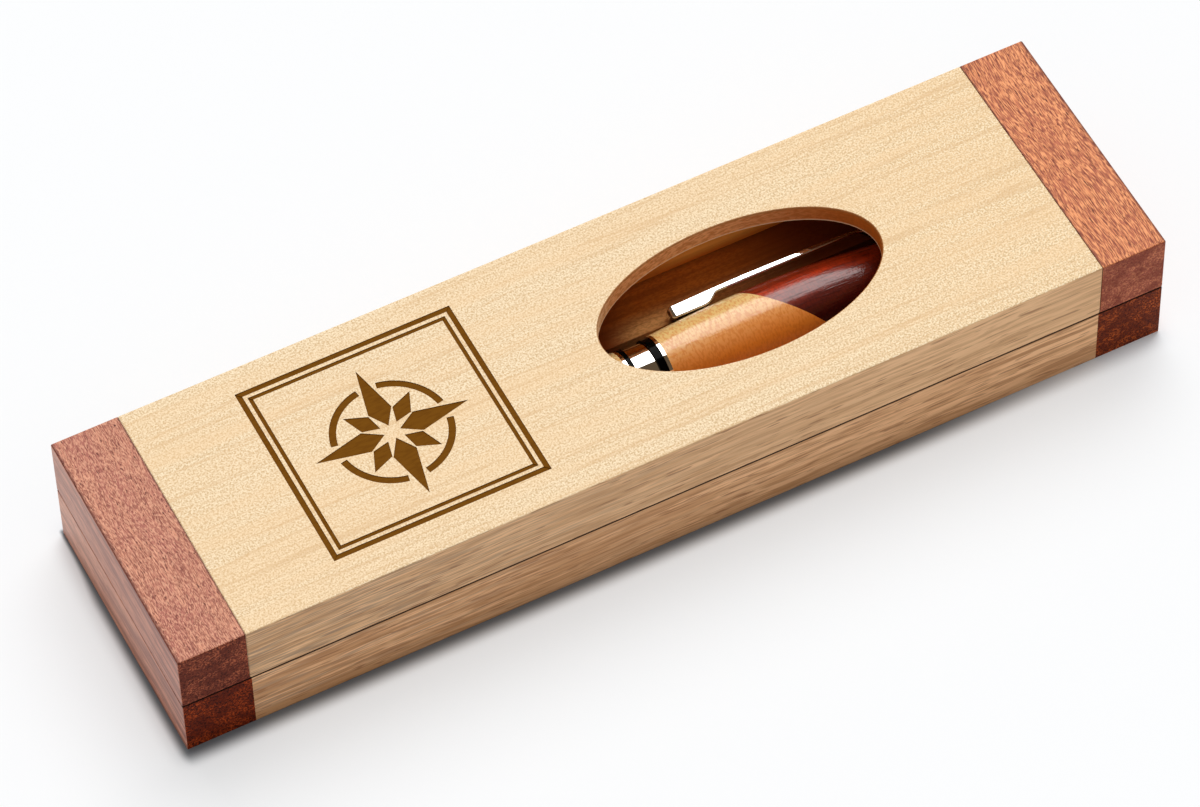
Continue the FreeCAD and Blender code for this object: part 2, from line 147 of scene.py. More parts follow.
def shade(colour, *shares):
    """The colour with each of its parts multiplied."""
    return tuple(min(1.0, part * share) for part, share in zip(colour, shares))


def closing_gap_shadow(tree):
    """The narrow strip along the front and back edges of the closing faces, with the shadow of the gap between lid and
    base painted on it.
    """
    x, y, z = own_place(tree)
    from_line = reckon(tree, "ABSOLUTE", reckon(tree, "SUBTRACT", z, closing_height))
    near_line = between(tree, from_line, 0.0010, 0.0005)
    near_edge = between(tree, reckon(tree, "ABSOLUTE", y), half_width - 0.0007, half_width - 0.0004)
    return reckon(tree, "MULTIPLY", near_line, near_edge)


def maple_face(name, face, shift):
    """Flat-sawn maple, grain along X: cream, with peach bands, thin tan lines and a close pattern of ticks."""
    finish, shader = new_finish(name, 0.5)
    shader.inputs["Specular IOR Level"].default_value = 0.25
    tree = finish.node_tree
    growth = between(tree, grain_noise(tree, (9, 240, 240), shift, 3, wander=0.0008), 0.36, 0.66, 0.4)
    rings = reckon(tree, "SUBTRACT", grain_noise(tree, (9, 620, 620), shift, 1, wander=0.0003), 0.5)
    lines = between(tree, reckon(tree, "ABSOLUTE", rings), 0.035, 0.0, 0.5)
    ticks = between(tree, grain_noise(tree, (3000, 2500, 2500), shift, 1), 0.36, 0.64)
    glints = between(tree, grain_noise(tree, (3300, 3300, 3300), shift + 1, 0), 0.44, 0.70)
    warmer = between(tree, own_place(tree)[0], 0.0, 0.9 * half_length)
    colour = tinted(tree, warmer, face, shade(face, 1.0, 0.94, 0.83))
    colour = tinted(tree, ticks, colour, shade(face, 0.76, 0.67, 0.53))
    colour = tinted(tree, glints, colour, shade(face, 1.09, 1.14, 1.20))
    colour = tinted(tree, growth, colour, shade(face, 1.0, 0.86, 0.70))
    colour = tinted(tree, lines, colour, shade(face, 0.80, 0.66, 0.49))
    # Painted shadow of the gap between lid and base.
    colour = tinted(tree, closing_gap_shadow(tree), colour, (0.10, 0.058, 0.034))
    tree.links.new(colour, shader.inputs["Base Color"])
    raise_grain(tree, shader, reckon(tree, "ADD", lines, ticks), 0.00001)
    return finish


def maple_side(name, side, shift, streaky):
    """Quarter-sawn maple on the long sides: tan, with red-brown streaks and short dark dashes along X, darkened towards
    the left end and the bottom as painted shade and lightened towards the right as painted light.
    """
    finish, shader = new_finish(name, 0.5)
    shader.inputs["Specular IOR Level"].default_value = 0.2
    tree = finish.node_tree
    streaks = between(tree, grain_noise(tree, (26, 560, 640), shift, 3, 0.6, 0.0012), 0.40, 0.64, streaky)
    lines = between(tree, grain_noise(tree, (75, 1500, 1700), shift, 3, 0.6, 0.0008), 0.46, 0.62, streaky)
    dashes = between(tree, grain_noise(tree, (180, 1500, 2300), shift + 2, 1, wander=0.0008), 0.62, 0.70, 0.6)
    nap = between(tree, grain_noise(tree, (110, 2300, 3000), shift + 4, 2), 0.38, 0.62)
    x, y, z = own_place(tree)
    # Painted light and shade: darker towards the left end, lighter towards the right, where the lamp is.
    light_from_right = between(tree, x, -1.1 * half_length, 0.9 * half_length)
    # Painted shade: darker within 5 mm of the bottom, near the floor.
    low = between(tree, z, 0.005, 0.0, 0.6)
    colour = tinted(tree, light_from_right, shade(side, 0.53, 0.57, 0.67), shade(side, 1.15, 1.17, 1.17))
    colour = tinted(tree, nap, colour, shade(side, 1.12, 1.14, 1.16))
    colour = tinted(tree, low, colour, shade(side, 0.62, 0.54, 0.48))
    colour = tinted(tree, streaks, colour, shade(side, 0.72, 0.64, 0.55))
    colour = tinted(tree, lines, colour, shade(side, 0.58, 0.48, 0.38))
    colour = tinted(tree, dashes, colour, shade(side, 0.34, 0.22, 0.15))
    tree.links.new(colour, shader.inputs["Base Color"])
    raise_grain(tree, shader, reckon(tree, "ADD", lines, dashes), 0.00002)
    return finish


def outside_of(tree, reach_x, reach_y):
    """How far a place lies outside an oblong round the box's middle, seen from above."""
    past = []
    for along, reach in zip(own_place(tree), (reach_x, reach_y)):
        beyond = reckon(tree, "SUBTRACT", reckon(tree, "ABSOLUTE", along), reach)
        past.append(reckon(tree, "POWER", reckon(tree, "MAXIMUM", beyond, 0.0), 2.0))
    return reckon(tree, "SQRT", reckon(tree, "ADD", past[0], past[1]))


def painted_shade_inside(name, shade_brown, bare, window_lit_brown, shift):
    """Maple inside the base, painted brown as shade where the lid's pocket comes down over it, lighter beside the pen
    as painted light from the window, and darker to the left and to the right as painted shade. Outside the pocket it is
    bare maple.
    """
    finish, shader = new_finish(name, 0.65)
    shader.inputs["Specular IOR Level"].default_value = 0.1
    tree = finish.node_tree
    streaks = between(tree, grain_noise(tree, (40, 900, 900), shift, 4), 0.42, 0.66, 0.4)
    bands = between(tree, grain_noise(tree, (12, 260, 260), shift, 3, wander=0.001), 0.42, 0.62, 0.3)
    fur = grain_noise(tree, (1500, 3000, 3000), shift, 2)
    specks = between(tree, fur, 0.40, 0.62, 0.35)
    x, y, z = own_place(tree)
    # Painted shade: darker towards +X and towards -X.
    painted_shade_right = between(tree, x, 0.022, 0.044)
    shaded = between(tree, x, 0.010, 0.002)
    # Painted light beside the pen, where the window lets light in.
    thin = between(tree, reckon(tree, "ABSOLUTE", y), 0.0125, 0.0085)
    past_pocket = outside_of(tree, pocket_reach - pocket_corner, pocket_half_width - pocket_corner)
    outside_pocket = between(tree, past_pocket, pocket_corner + 0.0002, pocket_corner + 0.0006)
    colour = tinted(tree, thin, shade_brown, window_lit_brown)
    colour = tinted(tree, shaded, colour, shade(shade_brown, 0.50, 0.34, 0.32))
    colour = tinted(tree, painted_shade_right, colour, shade(shade_brown, 0.28, 0.16, 0.22))
    colour = tinted(tree, bands, colour, shade(shade_brown, 0.36, 0.24, 0.20))
    colour = tinted(tree, streaks, colour, shade(shade_brown, 0.26, 0.16, 0.14))
    colour = tinted(tree, specks, colour, shade(shade_brown, 0.40, 0.30, 0.20))
    wood = tinted(tree, streaks, bare, shade(bare, 0.86, 0.74, 0.58))
    colour = tinted(tree, outside_pocket, colour, wood)
    # Painted shadow of the gap between lid and base.
    colour = tinted(tree, closing_gap_shadow(tree), colour, (0.060, 0.032, 0.018))
    tree.links.new(colour, shader.inputs["Base Color"])
    raise_grain(tree, shader, fur, 0.00003)
    return finish


def dress(node, finish, *others):
    """Gives a CAD piece its finish. Each of the others is a finish and the test that picks its facets."""
    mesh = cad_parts[node].data
    mesh.materials.clear()
    mesh.materials.append(finish)
    for number, (other, picks) in enumerate(others, start=1):
        mesh.materials.append(other)
        for facet in mesh.polygons:
            if picks(facet):
                facet.material_index = number


def faces_front_or_back(facet):
    return abs(facet.normal.y) > 0.72 and abs(facet.center.y) > half_width - 0.0005


def faces_the_pen(facet):
    """The base's closing face and groove."""
    return facet.normal.z > -0.5 and abs(facet.center.y) < half_width - 0.0005 and facet.center.z > groove_floor


groove_floor = 0.004
closing_height = 0.0122
pocket_reach = 0.0725
pocket_half_width = 0.017
pocket_corner = 0.006
dress(
    "base_block", maple_face("base maple", (0.80, 0.60, 0.37), 0.0),
    (maple_side("base maple side", (0.84, 0.48, 0.245), 0.0, 0.85), faces_front_or_back),
    # The inside's colours are painted shade, with painted light beside the pen; the bare colour is the maple's own.
    (painted_shade_inside("base maple inside", (0.52, 0.140, 0.016), (0.84, 0.64, 0.40), (0.82, 0.40, 0.13), 1.0), faces_the_pen),
)


# Base, dark ends. Each is a rosewood block whose grain runs across the box, so that the front and
# back faces show end grain. They are glued on and sanded flush with the maple.

def rosewood_face(name, face, shift, figure, close, joint):
    """Oiled rosewood, grain along Y: mottled, with pale and dark threads, open pores and chipped arrises darkened
    partly by painted shade.

    figure is the strength of the threads, close how many there are to the metre, joint the X of the glue line.
    """
    finish, shader = new_finish(name, 0.45)
    tree = finish.node_tree
    shader.inputs["Specular IOR Level"].default_value = 0.2
    clouds = between(tree, grain_noise(tree, (330, 70, 330), shift, 3, 0.6, 0.002), 0.40, 0.64, 0.7)
    bands = between(tree, grain_noise(tree, (5200, 0.14 * close, 5200), shift + 1, 3, 0.8, 0.002), 0.36, 0.64)
    shadows = between(tree, grain_noise(tree, (5200, 0.6 * close, 5200), shift + 3, 1, 0.6, 0.002), 0.44, 0.66, figure)
    threads = between(tree, grain_noise(tree, (5600, close, 5600), shift, 1, 0.6, 0.002), 0.44, 0.64, figure)
    pores = between(tree, grain_noise(tree, (4800, 0.8 * close, 4800), shift + 5, 1, wander=0.002), 0.66, 0.71, 0.9)
    x, y, z = own_place(tree)
    ragged = reckon(tree, "MULTIPLY_ADD", grain_noise(tree, (900, 900, 900), shift, 2), 0.0006, -0.0003)
    from_joint = reckon(tree, "ABSOLUTE", reckon(tree, "SUBTRACT", x, joint))
    glue = between(tree, reckon(tree, "ADD", from_joint, ragged), 0.00030, 0.00006, 0.75)
    high = between(tree, reckon(tree, "ADD", z, ragged), box_height - 0.0006, box_height - 0.0001)
    outwards = reckon(tree, "ADD", reckon(tree, "ABSOLUTE", x), ragged)
    outer = between(tree, outwards, half_length - 0.0007, half_length - 0.0001)
    # The chipped top arris at either end, darkened partly as painted shade in the chips.
    chips_and_shade = reckon(tree, "MULTIPLY", reckon(tree, "MULTIPLY", high, outer), 0.85)
    colour = tinted(tree, bands, shade(face, 0.52, 0.36, 0.34), shade(face, 1.44, 1.80, 1.78))
    colour = tinted(tree, clouds, colour, shade(face, 0.84, 0.74, 0.88))
    colour = tinted(tree, shadows, colour, shade(face, 0.40, 0.24, 0.22))
    colour = tinted(tree, threads, colour, shade(face, 1.70, 2.50, 2.60))
    colour = tinted(tree, pores, colour, shade(face, 0.20, 0.10, 0.10))
    colour = tinted(tree, reckon(tree, "MAXIMUM", glue, chips_and_shade), colour, shade(face, 0.20, 0.10, 0.10))
    # Painted shadow of the gap between lid and base.
    colour = tinted(tree, closing_gap_shadow(tree), colour, (0.024, 0.009, 0.007))
    tree.links.new(colour, shader.inputs["Base Color"])
    raise_grain(tree, shader, reckon(tree, "SUBTRACT", threads, pores), 0.00003)
    return finish


def rosewood_side(name, face, shift):
    """The ends' outer faces: long grain along Y, softer than the top, lighter and greyer partly as painted sheen, and
    palest at the back as painted light.
    """
    finish, shader = new_finish(name, 0.40)
    shader.inputs["Specular IOR Level"].default_value = 0.55
    tree = finish.node_tree
    streaks = between(tree, grain_noise(tree, (700, 40, 700), shift, 4, 0.6, 0.001), 0.38, 0.64)
    threads = between(tree, grain_noise(tree, (2600, 260, 2600), shift + 1, 2, 0.6, 0.001), 0.44, 0.64, 0.6)
    pores = between(tree, grain_noise(tree, (3000, 500, 3000), shift + 5, 1), 0.64, 0.72, 0.6)
    # Painted light and sheen: lighter and greyer towards the back, where the lamp is.
    back = between(tree, own_place(tree)[1], -half_width, half_width, 0.40)
    colour = tinted(tree, streaks, shade(face, 1.24, 1.42, 1.40), shade(face, 0.50, 0.38, 0.36))
    colour = tinted(tree, back, colour, shade(face, 1.45, 1.90, 1.90))
    colour = tinted(tree, threads, colour, shade(face, 0.60, 0.48, 0.46))
    colour = tinted(tree, pores, colour, shade(face, 0.40, 0.30, 0.30))
    tree.links.new(colour, shader.inputs["Base Color"])
    raise_grain(tree, shader, reckon(tree, "ADD", threads, pores), 0.00002)
    return finish


def faces_outwards(facet):
    """The long-grain face at either end of the box."""
    return abs(facet.normal.x) > 0.72 and abs(facet.center.x) > half_length - 0.0005


def rosewood_end(name, end, shift, speckled):
    """Rosewood end grain: dark, speckled with pale and near-black dots. speckled is their strength."""
    finish, shader = new_finish(name, 0.6)
    shader.inputs["Specular IOR Level"].default_value = 0.08
    tree = finish.node_tree
    clouds = between(tree, grain_noise(tree, (300, 260, 380), shift, 4, 0.6), 0.38, 0.62, 0.8)
    speckle = between(tree, grain_noise(tree, (2700, 900, 2700), shift, 2, 0.7), 0.45, 0.60, speckled)
    dots = between(tree, grain_noise(tree, (3000, 900, 3000), shift + 5, 1), 0.54, 0.62, 0.9 * speckled)
    colour = tinted(tree, speckle, end, shade(end, 3.20, 4.20, 3.20))
    colour = tinted(tree, clouds, colour, shade(end, 0.66, 0.54, 0.52))
    colour = tinted(tree, dots, colour, shade(end, 0.26, 0.18, 0.18))
    tree.links.new(colour, shader.inputs["Base Color"])
    raise_grain(tree, shader, reckon(tree, "SUBTRACT", speckle, dots), 0.00004)
    return finish


def dress_end(half, side, face, end, shift, figure, close, speckled):
    node = f"{half}_end_{side}"
    name = f"{half} rosewood {side}"
    low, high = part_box(node)
    joint = high[0] if side == "left" else low[0]
    outside = shade(face, 1.18, 1.28, 1.28) if half == "base" else face
    dress(node, rosewood_face(name, face, shift, figure, close, joint),
          (rosewood_end(f"{name} end grain", end, shift, speckled), faces_front_or_back),
          (rosewood_side(f"{name} outside", outside, shift), faces_outwards))


dress_end("base", "left", (0.49, 0.166, 0.101), (0.136, 0.015, 0.003), 11.0, 0.5, 1300, 1.0)
dress_end("base", "right", (0.53, 0.152, 0.061), (0.170, 0.025, 0.006), 23.0, 0.75, 600, 1.0)


# Hinges. Two small drawn-brass butt hinges, let in flush across the closing line at the back, each
# on a brass pin with low heads and held by four slotted countersunk brass screws.

def metal(name, colour, roughness, brush):
    """Bare metal, with fine brush marks along X where brush is over 0."""
    finish, shader = new_finish(name, roughness, metallic=1.0)
    shader.inputs["Base Color"].default_value = (*colour, 1.0)
    tree = finish.node_tree
    marks = grain_noise(tree, (60, 5200, 5200), 0.0, 2)
    wear = grain_noise(tree, (180, 180, 180), 2.0, 3)
    spread = reckon(tree, "MULTIPLY_ADD", reckon(tree, "ADD", marks, wear), brush, roughness - brush)
    tree.links.new(spread, shader.inputs["Roughness"])
    if brush > 0.05:
        raise_grain(tree, shader, marks, 0.000006)
    return finish


satin_brass = metal("satin brass", (0.80, 0.58, 0.26), 0.30, 0.12)
for side in ("left", "right"):
    for piece in ("base_leaf", "lid_leaf", "pin"):
        dress(f"hinge_{side}_{piece}", satin_brass)
dress("base_hinge_screws", satin_brass)
dress("lid_hinge_screws", satin_brass)


# Catch magnets. Nickel-plated discs pressed into blind holes near the front corners, two in the
# base and two in the lid, flush with the faces that meet.

nickel = metal("nickel plate", (0.68, 0.66, 0.62), 0.24, 0.06)
for half in ("base", "lid"):
    for side in ("left", "right"):
        dress(f"{half}_magnet_{side}", nickel)


# Pen, lower half. Two turned woods glued on a slant over a brass tube, with a polished nib at one
# end and a polished collar with a black ring at the other. The wood has many coats of gloss varnish.

def varnished(name, face, line, shaded_side, shift, cross, relief):
    """Turned wood under gloss varnish, grain along the pen. The third colour, after face and line, is painted shade on
    the side towards -Y, away from the lamp.
    """
    finish, shader = new_finish(name, 0.4)
    tree = finish.node_tree
    across = own_place(tree)[1]
    waver = reckon(tree, "MULTIPLY_ADD", grain_noise(tree, (50, 300, 300), shift, 3), 0.004, -0.002)
    # Painted shade: the side towards -Y goes over to the third, darker colour.
    depth = between(tree, reckon(tree, "ADD", across, waver), 0.0035, -0.0055)
    ribbons = between(tree, grain_noise(tree, (40, 420, 420), shift, 4, 0.6), 0.34, 0.70, 0.7)
    fibres = between(tree, grain_noise(tree, (160, 2600, 2600), shift, 2), 0.50, 0.68, 0.55)
    ticks = between(tree, grain_noise(tree, (3000, 1300, 1300), shift, 1), 0.44, 0.62, cross)
    streaked = tinted(tree, ribbons, face, line)
    streaked = tinted(tree, fibres, streaked, line)
    colour = tinted(tree, depth, streaked, shaded_side)
    colour = tinted(tree, ticks, colour, shade(shaded_side, 0.8, 0.7, 0.6))
    tree.links.new(colour, shader.inputs["Base Color"])
    shader.inputs["Specular IOR Level"].default_value = 0.1
    shader.inputs["Coat Weight"].default_value = 1.0
    shader.inputs["Coat Roughness"].default_value = 0.16
    raised = raise_grain(tree, shader, reckon(tree, "ADD", fibres, ticks), relief)
    tree.links.new(raised, shader.inputs["Coat Normal"])
    return finish


# The third colour of each wood is painted shade for the pen's side away from the lamp.
golden_maple = varnished("varnished maple", (0.86, 0.66, 0.32), (0.72, 0.46, 0.14),
                         (0.76, 0.225, 0.023), 2.0, 0.5, 0.00002)
red_rosewood = varnished("varnished rosewood", (0.56, 0.042, 0.004), (0.06, 0.004, 0.0015),
                         (0.040, 0.0015, 0.0012), 7.0, 0.3, 0.00004)
bright_chrome = metal("polished chrome", (0.84, 0.83, 0.82), 0.05, 0.015)
plain_brass = metal("plain brass", (0.78, 0.57, 0.28), 0.32, 0.08)
black_gloss, black_shader = new_finish("black enamel", 0.12)
black_shader.inputs["Base Color"].default_value = (0.001, 0.001, 0.001, 1.0)
black_shader.inputs["Specular IOR Level"].default_value = 0.03
dress("lower_barrel_maple", golden_maple)
dress("lower_barrel_rosewood", red_rosewood)
dress("lower_tube", plain_brass)
dress("twist_housing", plain_brass)
dress("twist_collar", bright_chrome)
dress("twist_collar_ring", black_gloss)
dress("nib", bright_chrome)


# Refill. A thin steel ink tube with a brass writing point, in a white plastic holder that the twist
# works push forward. It slides inside the lower half.

satin_steel = metal("satin steel", (0.60, 0.60, 0.60), 0.28, 0.08)
bright_brass = metal("bright brass", (0.84, 0.66, 0.34), 0.16, 0.04)
white_plastic, white_shader = new_finish("white plastic", 0.45)
white_shader.inputs["Base Color"].default_value = (0.80, 0.80, 0.79, 1.0)
dress("refill_tube", satin_steel)
dress("refill_point", bright_brass)
dress("refill_holder", white_plastic)


# Pen, upper half. The same two woods, a bright centre band with a black ring, a twist spindle, and
# at the far end a bushing, a sprung clip and a finial that screws down on it.

dress("cap_barrel_maple", golden_maple)
dress("cap_barrel_rosewood", red_rosewood)
dress("cap_tube", plain_brass)
dress("twist_spindle", plain_brass)
dress("cap_bushing", plain_brass)
dress("centre_band", bright_chrome)
dress("centre_band_ring", black_gloss)
dress("finial", bright_chrome)
dress("clip", bright_chrome)


# Lid, dark ends. Rosewood blocks like the base's, glued to the lid's maple. The left one is a
# purplish cut and the right one a more orange and streakier cut.

dress_end("lid", "left", (0.505, 0.170, 0.103), (0.170, 0.035, 0.020), 31.0, 0.6, 1300, 0.8)
dress_end("lid", "right", (0.56, 0.152, 0.059), (0.355, 0.090, 0.053), 47.0, 0.9, 600, 0.4)


# Lid, middle panel. Maple, hollowed from below over the pen, with an oval window cut by a router that
# burnt its top arris. Its wall and the pocket's sides carry painted light and shade. A square border
# and a star are burnt into its top by a laser.

engraving_centre = Vector((-0.0395, 0.0006))
engraving_length = 0.0385
engraving_width = 0.0369
engraving_depth = 0.00012
outer_line = 0.00095
inner_line = 0.00070
line_gap = 0.00062
star_reach = 0.0136
star_ring = 0.0096
ring_line = 0.0012
burnt_brown = (0.178, 0.067, 0.0055)


def add_prism(shape, outline):
    """A shallow upright prism on the lid's top, from its corners in order, counted from the engraving's centre."""
    low = box_height - engraving_depth
    corners = [shape.verts.new((*(engraving_centre + Vector(point)), low)) for point in outline]
    face = shape.faces.new(corners)
    raised = bmesh.ops.extrude_face_region(shape, geom=[face])["geom"]
    top = [v for v in raised if isinstance(v, bmesh.types.BMVert)]
    bmesh.ops.translate(shape, verts=top, vec=(0, 0, 4 * engraving_depth))


def add_border(shape, length, width, line):
    """An oblong line of that outer length and width, as four mitred bars."""
    signs = ((-1, -1), (1, -1), (1, 1), (-1, 1))
    outer = [(length / 2 * along, width / 2 * across) for along, across in signs]
    inner = [((length / 2 - line) * along, (width / 2 - line) * across) for along, across in signs]
    for corner in range(4):
        following = (corner + 1) % 4
        add_prism(shape, [outer[corner], outer[following], inner[following], inner[corner]])


def add_ray(shape, turn, reach, root, waist, half):
    """One pointed ray of the star, a kite with its long point outwards."""
    kite = [(root, 0), (waist, -half), (reach, 0), (waist, half)]
    add_prism(shape, [turn @ Vector(point) for point in kite])


def add_arc(shape, turn, radius, width, start, end, steps):
    """A stretch of a ring between two angles."""
    angles = [start + (end - start) * step / steps for step in range(steps + 1)]
    outer = [Vector((math.cos(a), math.sin(a))) * (radius + width / 2) for a in angles]
    inner = [Vector((math.cos(a), math.sin(a))) * (radius - width / 2) for a in reversed(angles)]
    add_prism(shape, [turn @ point for point in outer + inner])


def laser_cutter(finish):
    """What the laser takes out: the double border, the eight rays and the ring between them."""
    shape = bmesh.new()
    step = 2 * (outer_line + line_gap)
    add_border(shape, engraving_length, engraving_width, outer_line)
    add_border(shape, engraving_length - step, engraving_width - step, inner_line)
    for quarter in range(4):
        straight = Matrix.Rotation(quarter * math.pi / 2, 2)
        slanting = Matrix.Rotation((quarter + 0.5) * math.pi / 2, 2)
        add_ray(shape, straight, star_reach, 0.10 * star_reach, 0.34 * star_reach, 0.152 * star_reach)
        add_ray(shape, slanting, 0.62 * star_reach, 0.15 * star_reach, 0.34 * star_reach, 0.118 * star_reach)
        add_arc(shape, straight, star_ring, ring_line, math.radians(10), math.radians(80), 16)
    bmesh.ops.remove_doubles(shape, verts=shape.verts, dist=1e-7)
    bmesh.ops.recalc_face_normals(shape, faces=shape.faces)
    mesh = bpy.data.meshes.new("laser path")
    shape.to_mesh(mesh)
    shape.free()
    mesh.materials.append(finish)
    cutter = bpy.data.objects.new("laser path", mesh)
    bpy.context.scene.collection.objects.link(cutter)
    return cutter


def burnt_wood():
    finish, shader = new_finish("burnt line", 0.85)
    shader.inputs["Specular IOR Level"].default_value = 0.03
    tree = finish.node_tree
    char = between(tree, grain_noise(tree, (500, 1800, 1800), 4.0, 3), 0.40, 0.70, 0.4)
    tree.links.new(tinted(tree, char, burnt_brown, shade(burnt_brown, 0.62, 0.52, 0.45)), shader.inputs["Base Color"])
    return finish


def engraved_copy(node, cutter):
    """The node's shape with the cutter's lines sunk into it, as a mesh of its own."""
    shape = bmesh.new()
    shape.from_mesh(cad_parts[node].data)
    bmesh.ops.remove_doubles(shape, verts=shape.verts, dist=1e-6)
    mesh = bpy.data.meshes.new(f"{node} engraved")
    shape.to_mesh(mesh)
    shape.free()
    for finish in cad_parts[node].data.materials:
        mesh.materials.append(finish)
    copy = bpy.data.objects.new(f"{node} engraved", mesh)
    bpy.context.scene.collection.objects.link(copy)
    sink = copy.modifiers.new("sink", "BOOLEAN")
    sink.operation = "DIFFERENCE"
    sink.solver = "EXACT"
    sink.material_mode = "TRANSFER"
    sink.object = cutter
    bpy.context.view_layer.update()
    cut = bpy.data.meshes.new_from_object(copy.evaluated_get(bpy.context.evaluated_depsgraph_get()))
    copy.modifiers.clear()
    copy.data = cut
    cut.set_sharp_from_angle(angle=math.radians(28))
    for facet in cut.polygons:
        facet.use_smooth = max(abs(part) for part in facet.normal) < 0.99999
    return copy


def routed_wall():
    """The oval's wall: pale at its left end as painted light, going brown towards +X as painted shade, with scorch
    mottling, a painted highlight along its lower edge and a burnt top arris.
    """
    finish, shader = new_finish("window wall", 0.85)
    shader.inputs["Specular IOR Level"].default_value = 0.03
    tree = finish.node_tree
    x, y, z = own_place(tree)
    # Painted light and shade: pale at the left end, which faces the lamp, brown towards +X, which faces away from it.
    wall_shade_from_left = between(tree, x, window_middle - 0.98 * window_reach, window_middle - 0.65 * window_reach, 0.7)
    wall_shade_to_right = between(tree, x, window_middle, window_middle + window_reach)
    scorch = between(tree, grain_noise(tree, (900, 1500, 2300), 7.0, 3), 0.36, 0.64, 0.6)
    arris = between(tree, z, box_height - 0.00045, box_height - 0.00015, 0.75)
    # Painted highlight along the wall's lower edge.
    lip_highlight = between(tree, z, lid_ceiling + 0.0004, lid_ceiling + 0.0001, 0.8)
    colour = tinted(tree, wall_shade_from_left, (1.0, 0.78, 0.46), (0.80, 0.25, 0.045))
    colour = tinted(tree, wall_shade_to_right, colour, (0.54, 0.13, 0.014))
    colour = tinted(tree, scorch, colour, (0.44, 0.12, 0.018))
    colour = tinted(tree, lip_highlight, colour, (0.95, 0.66, 0.42))
    colour = tinted(tree, arris, colour, (0.34, 0.14, 0.045))
    tree.links.new(colour, shader.inputs["Base Color"])
    raise_grain(tree, shader, scorch, 0.00003)
    return finish


def pocket_wall():
    """The pocket's upright sides: bare maple, but on the back side under the window bright orange as painted light,
    going brown towards the closing line and towards the left as painted shade.
    """
    finish, shader = new_finish("pocket wall", 0.85)
    shader.inputs["Specular IOR Level"].default_value = 0.03
    tree = finish.node_tree
    x, y, z = own_place(tree)
    streaks = between(tree, grain_noise(tree, (60, 900, 1200), 8.0, 3), 0.40, 0.66, 0.35)
    # Painted shade: brown towards the closing line, and towards the left of the window.
    shade_to_closing_line = between(tree, z, 0.0148, 0.0122)
    shade_to_left = between(tree, x, 0.023, 0.012)
    aside = reckon(tree, "ABSOLUTE", reckon(tree, "SUBTRACT", x, window_middle))
    beside = between(tree, aside, 1.1 * window_reach, 1.5 * window_reach)
    bare = reckon(tree, "MAXIMUM", beside, between(tree, y, 0.003, -0.003))
    # Painted light: bright orange where the window lets light in.
    colour = tinted(tree, shade_to_closing_line, (1.0, 0.42, 0.075), (0.62, 0.135, 0.010))
    colour = tinted(tree, shade_to_left, colour, (0.62, 0.17, 0.020))
    colour = tinted(tree, streaks, colour, (0.62, 0.22, 0.03))
    wood = tinted(tree, streaks, (0.84, 0.64, 0.40), (0.62, 0.38, 0.18))
    colour = tinted(tree, bare, colour, wood)
    tree.links.new(colour, shader.inputs["Base Color"])
    raise_grain(tree, shader, streaks, 0.00003)
    return finish


def is_window_wall(facet):
    """The upright wall of the oval, through the panel's thickness."""
    near = abs(facet.center.x - window_middle) < window_reach and abs(facet.center.y) < 0.0145
    return abs(facet.normal.z) < 0.9 and facet.center.z > lid_ceiling and near


def is_pocket_wall(facet):
    inside = facet.center.z < lid_ceiling and abs(facet.center.y) < half_width - 0.0005
    return inside and abs(facet.normal.z) < 0.7


lid_ceiling = 0.0211
window_middle = 0.0232
window_reach = 0.0270
dress(
    "lid_panel", maple_face("lid maple", (0.86, 0.668, 0.43), 5.0),
    (maple_side("lid maple side", (0.78, 0.47, 0.245), 5.0, 0.48), faces_front_or_back),
    (pocket_wall(), is_pocket_wall),
    (routed_wall(), is_window_wall),
)
laser = laser_cutter(burnt_wood())
lid_top = engraved_copy("lid_panel", laser)
lid_top.name = "lid_panel_engraved"
bpy.data.objects.remove(laser)
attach(lid_top, "lid")
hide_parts("lid_panel")


# Ground and light. The box stands on a sheet of white acrylic that glows a little. A shadow is painted on it
# within 4 mm of the box's foot, fainter towards +X, and its glow is held back there. It is cut out under the box
# and clear from below, so that the underside is seen and lit. A softbox hangs behind and to the right.
# White walls stand round, under a dark ceiling.

sheet_white = (0.885, 0.905, 0.925)
sheet_glow = 0.56
sheet_gap = 0.00002
sheet_lap = 0.0005
glow_margin = 0.0045
fill_level = 0.515
wall_white = 0.97
ceiling_colour = (0.115, 0.078, 0.045)
lamp_level = 2.2
lamp_spread = 45
lamp_direction = Vector((0.29, 0.48, 0.83))

acrylic, acrylic_shader = new_finish("white acrylic", 0.9)
acrylic_tree = acrylic.node_tree
x, y, z = own_place(acrylic_tree)
past_front = reckon(acrylic_tree, "SUBTRACT", reckon(acrylic_tree, "MULTIPLY", y, -1.0), half_width)
past_back = reckon(acrylic_tree, "MULTIPLY", reckon(acrylic_tree, "SUBTRACT", y, half_width), 4.0)
past_long_sides = reckon(acrylic_tree, "MAXIMUM", reckon(acrylic_tree, "MAXIMUM", past_front, past_back), 0.0)
past_end = reckon(acrylic_tree, "SUBTRACT", reckon(acrylic_tree, "ABSOLUTE", x), half_length)
towards_back = reckon(acrylic_tree, "ADD", between(acrylic_tree, y, 0.008, half_width, 3.0), 1.8)
past_ends = reckon(acrylic_tree, "MAXIMUM", reckon(acrylic_tree, "MULTIPLY", past_end, towards_back), 0.0)
squares = [reckon(acrylic_tree, "POWER", past, 2.0) for past in (past_long_sides, past_ends)]
past_foot = reckon(acrylic_tree, "SQRT", reckon(acrylic_tree, "ADD", *squares))
